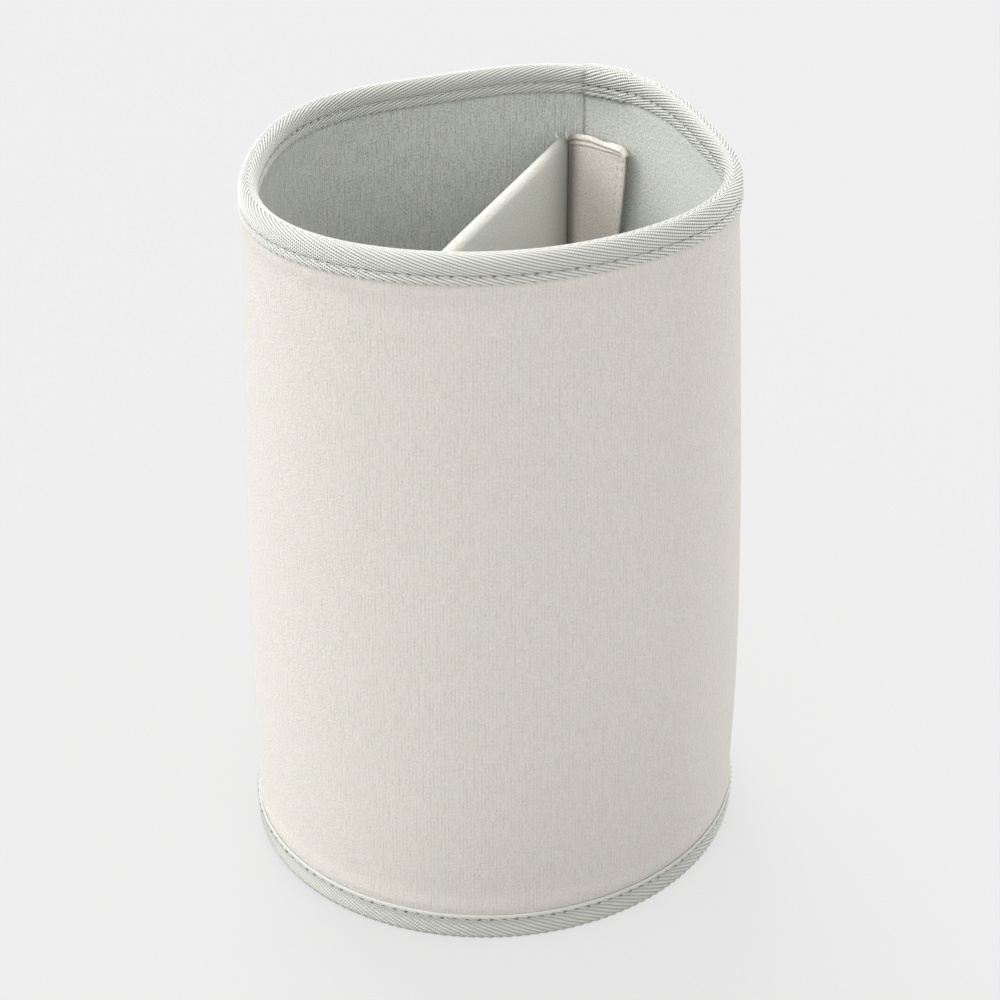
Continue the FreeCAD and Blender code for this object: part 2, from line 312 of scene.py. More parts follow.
def walked(out, up):
    """Distance along a closed profile from its first point to each, and back to the first."""
    steps = np.hypot(np.diff(out, append=out[0]), np.diff(up, append=up[0]))
    return np.concatenate([[0], np.cumsum(steps)])


def ring_mesh(name, inset, up, across, columns, repeat, start_at=SEAM_AZIMUTH, shift=0.0,
              relief=None):
    """A closed profile carried once round the wall, from an azimuth.

    inset and up are the profile's points and across their cloth coordinate, one longer.
    shift moves each profile point along the wall, which shears the grid. relief(phase,
    along, total) lifts the points square to the profile. Its phase counts a pattern's
    repeats, fitted so that a whole number goes round, and along is walked from the start.
    """
    azimuth, distance = walk(start_at, 360, up.mean(), inset.mean())
    total = distance[-1]
    count = round(total / repeat)
    shift = shift + np.zeros_like(up)
    start = total * np.arange(columns) / columns
    along = start[None, :] + shift[:, None]
    turn = np.interp(along % total, distance, azimuth)
    tangent_out = np.roll(inset, 1) - np.roll(inset, -1)
    tangent_up = np.roll(up, -1) - np.roll(up, 1)
    length = np.hypot(tangent_out, tangent_up)
    lift = 0.0 if relief is None else relief(start[None, :] / total * count, along % total, total)
    z = up[:, None] - lift * (tangent_out / length)[:, None]
    points = wall_point(turn, z, inset[:, None] - lift * (tangent_up / length)[:, None])
    edge = np.append(shift, shift[0])[:, None]
    u = (np.append(start, total)[None, :] + edge) * count * repeat / total
    v = np.repeat(across[:, None], columns + 1, axis=1)
    return grid_mesh(name, points, u, v)


# ---------------------------------------------------------------- materials
def linear(code):
    """An sRGB hex value as linear red, green, blue and a full alpha."""
    shares = [int(code[k:k + 2], 16) / 255 for k in (1, 3, 5)]
    parts = (s / 12.92 if s <= 0.04045 else ((s + 0.055) / 1.055) ** 2.4 for s in shares)
    return *parts, 1.0


def scaled(colour, red, green, blue):
    """A colour whose parts are each multiplied by a share."""
    return colour[0] * red, colour[1] * green, colour[2] * blue, 1.0


def add(tree, kind, inputs=(), output=0, **settings):
    """Adds a node with its settings, and gives one of its outputs.

    inputs come in the node's own order or under its keys. Each is a value, or the output
    of another node that it is linked to.
    """
    made = tree.nodes.new("ShaderNode" + kind)
    for key, value in settings.items():
        setattr(made, key, value)
    for key, value in (inputs if isinstance(inputs, dict) else dict(enumerate(inputs))).items():
        if isinstance(value, bpy.types.NodeSocket):
            tree.links.new(value, made.inputs[key])
        else:
            made.inputs[key].default_value = value
    return made.outputs[output] if made.outputs else None


def new_material(name):
    """A material and its still empty tree."""
    material = bpy.data.materials.new(name)
    material.use_nodes = True
    material.node_tree.nodes.clear()
    return material, material.node_tree


def cloth_coordinates(tree):
    """Where on its cloth a point is: the vector, and millimetres along and across."""
    vector = add(tree, "UVMap", uv_map=CLOTH_MAP)
    parts = add(tree, "SeparateXYZ", (vector,)).node.outputs
    return vector, parts[0], parts[1]


def wave(tree, place_at, repeat):
    """Cosine of a place, which comes round once in each repeat."""
    turn = add(tree, "Math", (place_at, 2 * math.pi / repeat), operation="MULTIPLY")
    return add(tree, "Math", (turn,), operation="COSINE")


def bell(tree, place_at, middle, reach):
    """Bell curve round a middle: e to minus the square of the distance in reaches."""
    apart = add(tree, "Math", (place_at, middle), operation="SUBTRACT")
    near = add(tree, "Math", (apart, reach), operation="DIVIDE")
    square = add(tree, "Math", (near, near), operation="MULTIPLY")
    negative = add(tree, "Math", (square, -1.0), operation="MULTIPLY")
    return add(tree, "Math", (negative,), operation="EXPONENT")


def surface(tree, colour, height, strength, depth, **constants):
    """Shader with a colour, a height that bumps it by a depth in mm, and constants by name."""
    bump = add(tree, "Bump", {"Strength": strength, "Distance": depth * MM, "Height": height})
    inputs = {key.replace("_", " "): value for key, value in constants.items()}
    shader = add(tree, "BsdfPrincipled", {"Base Color": colour, "Normal": bump, **inputs})
    add(tree, "OutputMaterial", {"Surface": shader})


def brushed_knit(name, base, shares, wale, line, relief, speckle, painted_shade_places=(), faded_wales=None, sheen=0.3):
    """Polyester knit with a raised nap: fine upright wales almost hidden by short fibre.

    To the eye it is matt and soft, a little lighter at its edges, with faint broken
    upright lines, fine speckle and slow drifts between a warm and a cool tint. shares make
    those two tints and the colour between the wales from its base colour. Painted shade
    darkens it round each place, (place, reach) along it, in creases, seams and corners,
    and its wales fade in colour and relief over a stretch, (from, to).
    """
    material, tree = new_material(name)
    vector, along, _ = cloth_coordinates(tree)
    upright = add(tree, "Mapping", {"Vector": vector, "Scale": (1.0, 0.22, 1.0)})
    # Tufts, pills, broken lines and drifts, in mm. Single fibres, under 0.1 mm, are too fine
    # to show, so the nap is drawn as tufts of many.
    nap, pills, streak, drift = (
        add(tree, "TexNoise", {"Vector": at, "Scale": 1 / size, "Detail": 2.0, "Roughness": rough})
        for at, size, rough in ((vector, 0.75, 0.7), (vector, 1.6, 0.6), (upright, 1.2, 0.6),
                                (vector, 12.0, 0.5)))
    sway = add(tree, "Math", (pills, 0.6, along), operation="MULTIPLY_ADD")
    between = add(tree, "MapRange", (wave(tree, sway, wale), -0.2, 1.0))
    broken = add(tree, "MapRange", (streak, 0.38, 0.62, 0.1, 1.0))
    rib = add(tree, "Math", (between, broken), operation="MULTIPLY")
    # The wales fade, in colour and relief, over a stretch along the cloth.
    if faded_wales:
        fade = add(tree, "MapRange", (along, *faded_wales, 1.0, 0.15))
        rib = add(tree, "Math", (rib, fade), operation="MULTIPLY")
    warm, cool, groove = (scaled(base, *share) for share in shares)
    layers = [(add(tree, "MapRange", (drift, 0.38, 0.62)), warm),
              (add(tree, "MapRange", (pills, 0.3, 0.7)), base),
              (add(tree, "Math", (rib, line), operation="MULTIPLY"), groove),
              (add(tree, "MapRange", (nap, 0.5, 0.66, 0.0, speckle)), groove),
              (add(tree, "MapRange", (nap, 0.48, 0.34, 0.0, 0.8 * speckle)), NAP_TIPS)]
    # Painted shade: the colour darkens by a bell curve round each place.
    for place_at, reach in painted_shade_places:
        painted_shade_here = add(tree, "Math", (bell(tree, along, place_at, reach), PAINTED_SHADE_SHARE), operation="MULTIPLY")
        layers.append((painted_shade_here, PAINTED_SHADE_COLOUR))
    colour = cool
    for share, over in layers:
        colour = add(tree, "Mix", {0: share, 6: colour, 7: over}, 2, data_type="RGBA")
    height = add(tree, "Math", (rib, -relief, nap), operation="MULTIPLY_ADD")
    height = add(tree, "Math", (pills, 0.6, height), operation="MULTIPLY_ADD")
    surface(tree, colour, height, 0.8, 0.4, Roughness=0.92, Sheen_Weight=sheen,
            Sheen_Roughness=0.35, Specular_IOR_Level=0.2)
    return material


def herringbone_tape(name, base, dark, run, stitch_rows, smooth_from, groove_shade, dotted):
    """Woven polyester tape: filament ribs that lean away from its middle on both sides.

    To the eye each rib is a string of bright, slightly glossy dots where a weft thread
    crosses it, with a row of small dark holes in the groove beside it. Needle holes show
    as darker slots along each row of stitches, and past smooth_from the selvage is plain.
    The dark in the grooves, the holes, the gaps between wefts and the needle holes is
    painted shade, partly the real dark of the gaps in the weave.
    """
    material, tree = new_material(name)
    vector, along, across = cloth_coordinates(tree)
    away = add(tree, "Math", (across,), operation="ABSOLUTE")
    leaned = add(tree, "Math", (away, -run, along), operation="MULTIPLY_ADD")
    weft = wave(tree, along, PICK)
    yarn = add(tree, "TexNoise",
               {"Vector": vector, "Scale": 1 / YARN_LUMP, "Detail": 2.0, "Roughness": 0.6})
    uneven = add(tree, "MapRange", (yarn, 0.3, 0.7, 0.5, 1.0))
    woven = add(tree, "MapRange", (away, smooth_from, smooth_from + 0.3, 1.0, 0.0))
    between = add(tree, "MapRange", (wave(tree, leaned, RIB_ALONG), -0.1, 0.9))
    groove = add(tree, "Math", (between, woven), operation="MULTIPLY")
    under = add(tree, "MapRange", (weft, -0.5, 0.8))
    sunk = add(tree, "Math", (groove, under), operation="MULTIPLY")
    hole = add(tree, "Math", (sunk, uneven), operation="MULTIPLY")
    ridge = add(tree, "Math", (woven, groove), operation="SUBTRACT")
    dip = add(tree, "Math", (ridge, add(tree, "MapRange", (weft, 0.2, -0.9))), operation="MULTIPLY")
    spots = add(tree, "Math", (dip, 0.45, hole), operation="MULTIPLY_ADD")
    dots = add(tree, "Math", (spots, dotted), operation="MULTIPLY")
    # Painted shade in the grooves, the holes and between the wefts on the ribs, partly the real dark of
    # the weave's gaps.
    shaded = add(tree, "Math", (groove, groove_shade, dots), operation="MULTIPLY_ADD")
    plain = add(tree, "Math", (woven, -0.22, 0.22), operation="MULTIPLY_ADD")
    darkness = add(tree, "Math", (shaded, plain), operation="ADD")
    slot = add(tree, "MapRange", (wave(tree, along, STITCH), 0.25, 0.9, 0.25, 1.0))
    pit = 0.0
    for row in stitch_rows:
        needle = add(tree, "Math", (bell(tree, across, row, NEEDLE_HOLE), slot), operation="MULTIPLY")
        pit = add(tree, "Math", (needle, pit), operation="MAXIMUM")
    # Painted shade in the needle holes.
    needle_hole_shade = add(tree, "Math", (pit, 0.9), operation="MULTIPLY")
    colour = base
    for share in (darkness, needle_hole_shade):
        colour = add(tree, "Mix", {0: share, 6: colour, 7: dark}, 2, data_type="RGBA")
    height = add(tree, "Math", (pit, -1.5), operation="MULTIPLY")
    height = add(tree, "Math", (hole, -1.0, height), operation="MULTIPLY_ADD")
    height = add(tree, "Math", (dip, -0.5, height), operation="MULTIPLY_ADD")
    surface(tree, colour, height, 1.0, 0.22, Roughness=0.5, Sheen_Weight=0.1,
            Specular_IOR_Level=0.55)
    return material


def spun_thread(name, base, dark):
    """Twisted polyester sewing thread: two plies wind round each other, with a low gloss."""
    material, tree = new_material(name)
    _, along, across = cloth_coordinates(tree)
    round_it = add(tree, "Math", (across, 4.0), operation="MULTIPLY")
    turn = add(tree, "Math", (along, 8.0, round_it), operation="MULTIPLY_ADD")
    twist = add(tree, "Math", (turn,), operation="COSINE")
    groove = add(tree, "MapRange", (twist, 0.3, 1.0, 0.0, 0.5))
    colour = add(tree, "Mix", {0: groove, 6: base, 7: dark}, 2, data_type="RGBA")
    surface(tree, colour, twist, 0.6, 0.1, Roughness=0.55, Specular_IOR_Level=0.45)
    return material


def hook_weave(name, base, dark):
    """Nylon hook tape: a tight plain weave that carries rows of stiff clear hooks."""
    material, tree = new_material(name)
    _, along, across = cloth_coordinates(tree)
    over = add(tree, "Math", (wave(tree, along, HOOK_YARN), wave(tree, across, HOOK_YARN)),
               operation="MULTIPLY")
    groove = add(tree, "MapRange", (over, -0.2, 1.0, 0.0, 0.6))
    colour = add(tree, "Mix", {0: groove, 6: base, 7: dark}, 2, data_type="RGBA")
    surface(tree, colour, over, 0.8, 0.15, Roughness=0.5, Specular_IOR_Level=0.5)
    return material


def open_foam(name, base, dark):
    """Polyurethane foam: matt, with small open cells that show as dark pores."""
    material, tree = new_material(name)
    cells = add(tree, "TexVoronoi", {"Vector": add(tree, "TexCoord", output="Object"),
                                     "Scale": 1 / (FOAM_CELL * MM)})
    wall = add(tree, "MapRange", (cells, 0.15, 0.6))
    colour = add(tree, "Mix", {0: wall, 6: dark, 7: base}, 2, data_type="RGBA")
    surface(tree, colour, cells, 0.7, 0.3, Roughness=0.95, Specular_IOR_Level=0.15)
    return material


def extruded_sheet(name, base, dark):
    """Polypropylene sheet: milky and smooth, with the faint grain of the rolls that drew it."""
    material, tree = new_material(name)
    drawn = add(tree, "Mapping", {"Vector": add(tree, "TexCoord", output="Object"),
                                  "Scale": (1.0, 1.0, 0.08)})
    grain = add(tree, "TexNoise", {"Vector": drawn, "Scale": 1 / (SHEET_GRAIN * MM), "Detail": 3.0,
                                   "Roughness": 0.6})
    share = add(tree, "MapRange", (grain, 0.3, 0.7))
    colour = add(tree, "Mix", {0: share, 6: base, 7: dark}, 2, data_type="RGBA")
    surface(tree, colour, grain, 0.25, 0.1, Roughness=0.42, IOR=1.49, Subsurface_Weight=0.05)
    return material


NAP_TIPS = linear("#f6f5f0")
# Colour of the painted shade in the knits' creases, seams and corners, and its share at the middle of
# each.
PAINTED_SHADE_COLOUR = linear("#65645c")
PAINTED_SHADE_SHARE = 0.6            # of PAINTED_SHADE_COLOUR in the middle of a fold
FINISHES = {}


def finish(name):
    """The material of a name, made once."""
    if name not in FINISHES:
        FINISHES[name] = MAKE_FINISH[name](bpy.context.scene.holder_looks)
    return FINISHES[name]


def stitch_rows(profile):
    """Cloth coordinates of the rows of stitches on a tape, from the tape's middle."""
    return [profile["across"][row] for row in profile["rows"]]


MAKE_FINISH = {
    "cover": lambda looks: brushed_knit(
        "brushed_knit_greige", looks.cover_colour[:],
        ((1.011, 0.989, 0.989), (0.969, 0.989, 0.978), (0.598, 0.584, 0.565)),
        WALE, 0.26, 0.3, 0.22),
    "lining": lambda looks: brushed_knit(
        "ribbed_knit_grey_green", looks.lining_colour[:],
        ((1.0, 0.98, 0.979), (0.949, 0.98, 0.989), (0.4, 0.424, 0.417)),
        # Painted shade along the side seam, at 0 along the cloth.
        LINING_WALE, 0.3, 0.8, 0.45, painted_shade_places=((0.0, 0.9),), faded_wales=(330.0, 375.0)),
    "divider": lambda looks: brushed_knit(
        "brushed_knit_stone", looks.divider_colour[:],
        ((1.02, 0.99, 0.979), (0.931, 0.96, 0.969), (0.531, 0.536, 0.523)),
        FINE_WALE, 0.1, 0.15, 0.4,
        # Painted shade towards both ends, where the pad meets the flanges, and deeper in the creases at
        # the ends.
        painted_shade_places=((-1.0, 15.0), (0.0, 2.6), (PANEL_LENGTH + 1.0, 15.0), (PANEL_LENGTH, 2.6))),
    # The flanges wear the cover's greige knit, made lighter: painted light that brightens them in the
    # shade inside the mouth.
    "flange": lambda looks: brushed_knit(
        "brushed_knit_pale_greige", looks.flange_colour[:],
        ((1.009, 0.962, 0.96), (0.944, 0.971, 0.97), (0.519, 0.508, 0.488)),
        FINE_WALE, 0.1, 0.15, 0.4,
        # Painted shade in the crease at the hinge, and a painted shadow line along the free edge, laid
        # twice.
        painted_shade_places=((-0.6, 3.0), (-0.4, 1.3), *2 * [(FLANGE_WIDTH, 0.75)]), sheen=0.1),
    "rim_tape": lambda looks: herringbone_tape(
        "herringbone_tape_sage_rim", looks.rim_tape_colour[:], linear("#2b3129"), RIM_RIB_RUN,
        stitch_rows(rim_tape_profile()), RIM_SMOOTH_FROM, 0.26, 1.1),
    "foot_tape": lambda looks: herringbone_tape(
        "herringbone_tape_sage_foot", looks.foot_tape_colour[:], linear("#4c534a"), FOOT_RIB_RUN,
        stitch_rows(foot_tape_profile()), FOOT_SMOOTH_FROM, 0.26, 0.4),
    "thread": lambda looks: spun_thread(
        "spun_thread_sage", looks.thread_colour[:],
        scaled(looks.thread_colour, 0.552, 0.57, 0.548)),
    "flange_thread": lambda looks: spun_thread(
        "spun_thread_greige", linear("#e4ddd4"), linear("#c4bdb3")),
    "hook": lambda looks: hook_weave("nylon_hook_tape", linear("#dcdcd5"), linear("#a5a69f")),
    "fibre": lambda looks: spun_thread("loose_fibre", linear("#fbfaf6"), linear("#e8e7e1")),
    "foam": lambda looks: open_foam("polyurethane_foam", linear("#ecebe4"), linear("#c9c8bf")),
    "board": lambda looks: extruded_sheet(
        "polypropylene_sheet", linear("#e6e8e8"), linear("#d6dada")),
}


# ---------------------------------------------------------------- wall cloths
def wall_cloth(name, outer_inset, inner_inset, seen_inset, dents, edge_puff):
    """A rolled layer of cloth: up one face, over its top edge and down the other.

    Its seen face has finer rows, is dented by slow waves along and up the wall, puffs up
    beside each binding and dips along the seam, both by a bell curve.
    """
    seen = np.linspace(LAYERS_LOW, LAYERS_HIGH, 101)
    hidden = np.linspace(LAYERS_LOW, LAYERS_HIGH, 13)
    rises = (seen, hidden) if seen_inset == outer_inset else (hidden, seen)
    up = np.concatenate([rises[0], rises[1][::-1]])
    inset = np.repeat([outer_inset, inner_inset], [len(rise) for rise in rises])
    face = (inset == seen_inset)[:, None]
    height = up[:, None]

    def soft(phase, along, total):
        waves = np.sin(along / 31 + height / 47) * np.sin(height / 38 - along / 67)
        waves = waves + 0.6 * np.sin(along / 17 - height / 23) * np.sin(height / 29)
        from_seam = np.minimum(along, total - along)
        beside = height - np.where(height > HEIGHT / 2, RIM_TAPE_LOW - 2.0, FOOT_TAPE_TOP + 2.0)
        puff = edge_puff * np.exp(-(beside / 2.6) ** 2)
        return face * (dents * (0.45 * waves - 0.7) + puff - 0.4 * np.exp(-(from_seam / 0.8) ** 2))
    across = np.append(up, up[0])
    return ring_mesh(name, inset, up, across, 600, WALE, relief=soft)


# ---------------------------------------------------------------- bindings
TAPE_BACK = 0.55            # from a tape's seen face to its hidden one
LEG_ROWS = 16               # up each straight leg of a tape
FOLD_ROWS = 21              # over the rim


def arch(middle, half, crest, rise, count):
    """Insets and heights of a squarish arch, outside to inside: a superellipse."""
    angle = np.linspace(math.pi, 0, count)
    power = 0.8
    inset = middle + half * np.sign(np.cos(angle)) * np.abs(np.cos(angle)) ** power
    up = crest - rise + rise * np.abs(np.sin(angle)) ** power
    return inset, up


def tape_profile(seen_inset, seen_up, back_inset, back_up, middle_row, stitches):
    """A tape's seen face and its hidden one as a closed profile, measured from its middle."""
    inset = np.concatenate([seen_inset, back_inset])
    up = np.concatenate([seen_up, back_up])
    across = walked(-inset, up)
    across = across - across[middle_row]
    shown = np.arange(len(up)) < len(seen_up)
    rows = [int(np.argmin(np.where(shown & side(inset), np.abs(up - z), np.inf)))
            for z, side in stitches]
    return {"inset": inset, "up": up, "across": across, "shown": shown, "rows": rows}


def rim_tape_profile():
    """Outside selvage, up the wall, over the fold and down to the inside selvage."""
    half = (RIM_INNER_INSET + TAPE) / 2
    middle = RIM_INNER_INSET - half
    rise = 2.7
    leg = np.linspace(RIM_TAPE_LOW, HEIGHT - rise, LEG_ROWS + 1)[:-1]
    fold_inset, fold_up = arch(middle, half, HEIGHT, rise, FOLD_ROWS)
    inset = np.concatenate([np.full(LEG_ROWS, -TAPE), fold_inset,
                            np.full(LEG_ROWS, RIM_INNER_INSET)])
    up = np.concatenate([leg, fold_up, leg[::-1]])
    back_leg = np.linspace(RIM_TAPE_LOW, HEIGHT - rise, 5)[:-1]
    back_fold_inset, back_fold_up = arch(middle, half - TAPE_BACK, HEIGHT - TAPE_BACK, rise - TAPE_BACK, 9)
    back_inset = np.concatenate([np.full(4, RIM_INNER_INSET - TAPE_BACK), back_fold_inset[::-1],
                                 np.full(4, TAPE_BACK - TAPE)])
    back_up = np.concatenate([back_leg, back_fold_up, back_leg[::-1]])
    stitches = ((RIM_STITCH_OUTSIDE, lambda i: i < middle),
                (RIM_STITCH_INSIDE, lambda i: i > middle))
    return tape_profile(inset, up, back_inset, back_up, LEG_ROWS + FOLD_ROWS // 2, stitches)


def foot_tape_profile():
    """Top selvage, down the wall, round the foot and in under the base."""
    round_off = 1.7
    leg = np.linspace(FOOT_TAPE_TOP, round_off, LEG_ROWS + 1)[:-1]
    angle = np.linspace(0, math.pi / 2, 8)
    turned_in = np.linspace(round_off - TAPE, 8.6, 11)[1:]
    inset = np.concatenate([np.full(LEG_ROWS, -TAPE), round_off * (1 - np.cos(angle)) - TAPE,
                            turned_in])
    up = np.concatenate([leg, round_off * (1 - np.sin(angle)), np.zeros(10)])
    back_inset = np.concatenate([turned_in[::-3], np.full(5, TAPE_BACK - TAPE)])
    back_up = np.concatenate([np.full(4, TAPE_BACK), np.linspace(round_off, FOOT_TAPE_TOP, 5)])
    middle_row = LEG_ROWS + len(angle) // 2
    stitches = ((FOOT_STITCH, lambda i: i < 0),)
    return tape_profile(inset, up, back_inset, back_up, middle_row, stitches)


def tape_mesh(name, profile, run, edge_swell, doubled, smooth_from):
    """Folded tape whose grid is sheared to follow its ribs, away from the middle both ways.

    The relief is rounded ribs with narrow grooves, one less twice the fourth power of a
    cosine, and a bell-shaped dip with a low swell beside it along each row of stitches.
    Over a stretch before its start the tape lies double, and steps up by its thickness. Its
    inner edge shows there as a groove beside the selvage, which ends in a bell-shaped lump.
    """
    inset, up, across = profile["inset"], profile["up"], profile["across"]
    shown = profile["shown"][:, None]
    place_across = across[:-1]
    shift = run * np.abs(place_across)
    hidden = ~profile["shown"]
    shift[hidden] = np.linspace(shift[~hidden][-1], shift[0], hidden.sum())
    woven = np.clip((smooth_from + 0.4 - np.abs(place_across)) / 0.4, 0, 1)[:, None]
    pull = np.zeros_like(up)
    for row in profile["rows"]:
        apart = place_across - place_across[row]
        towards_middle = -np.sign(place_across[row]) * apart
        pull = pull - 0.30 * np.exp(-(apart / 0.6) ** 2)
        pull = pull + 0.14 * np.exp(-((towards_middle - 2.2) / 1.2) ** 2)
        pull = pull + edge_swell * np.exp(-((towards_middle + 1.5) / 0.7) ** 2)

    def ribs(phase, along, total):
        ridge = woven * RIB_DEPTH * (1 - 2 * np.cos(math.pi * phase) ** 4)
        lapped = (1 - ease((total - along - doubled + 3) / 4)) * (doubled > 0)
        ragged = 0.12 * np.sin(along * 1.9) * np.sin(along * 0.83 + 1) * lapped
        ahead = -0.3 * np.exp(-(along / 0.8) ** 2) * (doubled > 0)
        from_selvage = (place_across[profile["shown"]][-1] - place_across)[:, None]
        worn = lapped * (1 - ease((from_selvage - 1.8) / 1.4))
        groove = -0.45 * lapped * np.exp(-((from_selvage - 1.15) / 0.35) ** 2)
        lump = 0.55 * np.exp(-((total - along - doubled + 3) / 1.5) ** 2
                             - ((from_selvage - 0.9) / 0.9) ** 2)
        lift = (ridge * (1 - worn) + JOIN_STEP * lapped + ragged * (1 + worn) + groove
                + lump * (doubled > 0))
        return shown * (lift + pull[:, None] + ahead)
    columns = RIB_COLUMNS * repeats_round(up.mean(), inset.mean(), RIB_ALONG)
    return ring_mesh(name, inset, up, across, columns, RIB_ALONG, JOIN_AZIMUTH, shift, ribs)


# ---------------------------------------------------------------- base
def disc_mesh(name, low, high, domed):
    """Round sheet as a closed shell: under side out to the edge, and top side back in.

    Each ring is the wall's outline scaled towards the middle. The top swells by a
    parabola and is waved by sines, which both fade to nothing at the edge.
    """
    shares = np.linspace(0, 1, 15)
    azimuth = np.linspace(0, 360, 181)[:-1]
    edge = wall_point(azimuth, low, BASE_INSET + 0.1)[:, :2]
    share = np.concatenate([shares, shares[::-1]])[:, None]
    flat = edge[None] * share[..., None]
    x, y = flat[..., 0], flat[..., 1]
    waves = np.sin(x / 11 + 0.6) * np.sin(y / 14) + 0.5 * np.sin((x + y) / 7)
    swell = domed * (1 - share ** 2) * (0.7 + 0.25 * waves)
    top = (np.arange(len(share)) >= len(shares))[:, None]
    z = np.where(top, high + swell, low)
    points = np.stack([x, y, z], -1)
    # The cloth coordinate starts far from 0, clear of the lining's painted shade at its seam.
    clear_of_painted_shade = x + 2 * FOOT_RADIUS
    closed_u, closed_v = (np.concatenate([each, each[:, :1]], axis=1)
                          for each in (clear_of_painted_shade, y))
    return grid_mesh(name, points, closed_u, closed_v, closed=(False, True))


# ---------------------------------------------------------------- threads
def thread_mesh(name, axis, outs, radius, flatness=0.7):
    """Separate round threads with closed ends.

    axis is (threads, stations, 3), outs the way each thread's surface faces, and radius
    one value for each station. A ring's points are out times a cosine and sideways times
    a sine.
    """
    count, stations = axis.shape[:2]
    corners = 6
    sides = unit(np.cross(axis[:, -1] - axis[:, 0], outs))
    turn = 2 * math.pi * np.arange(corners) / corners
    ring = (outs[:, None, None, :] * (np.cos(turn)[None, None, :, None] * flatness)
            + sides[:, None, None, :] * np.sin(turn)[None, None, :, None])
    points = axis[:, :, None, :] + ring * radius[None, :, None, None]
    station, corner = np.meshgrid(np.arange(stations - 1), np.arange(corners), indexing="ij")
    next_corner = (corner + 1) % corners
    quads = np.stack([station * corners + corner, station * corners + next_corner,
                      (station + 1) * corners + next_corner, (station + 1) * corners + corner], -1)
    cap = np.array([[0, 1, 2, 3], [0, 3, 4, 5]])
    each = np.concatenate([quads.reshape(-1, 4), cap[:, ::-1], cap + (stations - 1) * corners])
    faces = (np.arange(count)[:, None, None] * stations * corners + each[None]).reshape(-1, 4)
    length = np.linalg.norm(axis[0, -1] - axis[0, 0])
    along = np.array([0, 0, 1, 1])[None, None] + station[..., None]
    over = np.array([0, 1, 1, 0])[None, None] + corner[..., None]
    quad_cloth = np.stack([along * length / (stations - 1), over * 0.3], -1).reshape(-1, 4, 2)
    cloth = np.tile(np.concatenate([quad_cloth, np.zeros((4, 4, 2))]), (count, 1, 1))
    return face_mesh(name, points.reshape(-1, 3), faces, cloth)


def stitch_mesh(name, middles, directions, outs, length, thickness=0.24, arch_height=0.16):
    """Lockstitches: threads along a low parabola, whose ends dive into the cloth and thin out."""
    t = np.linspace(-1, 1, 7)
    axis = (middles[:, None, :] + directions[:, None, :] * (t * length / 2)[None, :, None]
            + outs[:, None, :] * (arch_height * (1 - 2.4 * t ** 2))[None, :, None])
    return thread_mesh(name, axis, outs, thickness * np.sqrt(1 - 0.92 * t ** 6))


def round_stitches(z, inset, facing):
    """Middles, directions and outward ways of a row of stitches; facing is -1 inside."""
    azimuth, distance = walk(JOIN_AZIMUTH, 360, z, inset)
    count = repeats_round(z, inset, STITCH)
    at = np.interp((np.arange(count) + 0.5) * distance[-1] / count, distance, azimuth)
    middles = wall_point(at, z, inset)
    directions = unit(wall_point(at + 0.2, z, inset) - wall_point(at - 0.2, z, inset))
    outs = facing * unit(wall_point(at, z, inset - 1.0) - middles)
    return middles, directions, outs


def seam_stitches(inset, facing):
    """Stitches one above the other up the closed seam of a rolled layer."""
    z = np.arange(LAYERS_LOW + 5, LAYERS_HIGH - 5, 3.0)
    middles = wall_point(SEAM_AZIMUTH, z, inset)
    directions = unit(np.gradient(middles, axis=0))
    outs = facing * unit(wall_point(SEAM_AZIMUTH, z, inset - 1.0) - middles)
    return middles, directions, outs


def flange_rows(end):
    """Two rows of stitches down a flange near its free edge."""
    z = np.arange(FLANGE_TOP - FLANGE_HEM - 2, DIVIDER_LOW + 3, -FLANGE_STITCH)
    rows = []
    for margin in FLANGE_STITCH_INSETS:
        reach = flange_width(z) - margin
        middles = flange_point(end, reach, FLANGE / 2 + 0.02, z)
        directions = unit(np.gradient(middles, axis=0))
        outs = unit(flange_point(end, reach, FLANGE / 2 + 1.0, z) - middles)
        rows.append((middles, directions, outs))
    return [np.concatenate(parts) for parts in zip(*rows)]


def panel_rows():
    """A row of stitches near the foot of the divider, on each face of it."""
    rows = []
    for side in (-1, 1):
        y = PANEL_MIDDLE + side * (PANEL / 2 - 0.15)
        first, last = (panel_reach(end, y) for end in ("back", "front"))
        x = np.arange(first + 3, last - 3, STITCH)
        middles = panel_point(x, y, PANEL_STITCH)
        directions = np.broadcast_to(np.append(PANEL_ALONG, 0.0), middles.shape)
        outs = np.broadcast_to(side * np.append(PANEL_OUT, 0.0), middles.shape)
        rows.append((middles, directions, outs))
    return [np.concatenate(parts) for parts in zip(*rows)]


# ---------------------------------------------------------------- divider
PAD_ROWS = 62               # up each face of the pad
PAD_COLUMNS = 38            # along it, between its rounded ends
PAD_END_HELD = 4.0          # how much of each end the seams hold
PADDING_FRAMES = 20
HOOK_ROWS = 60
HOOK_COLUMNS = 14


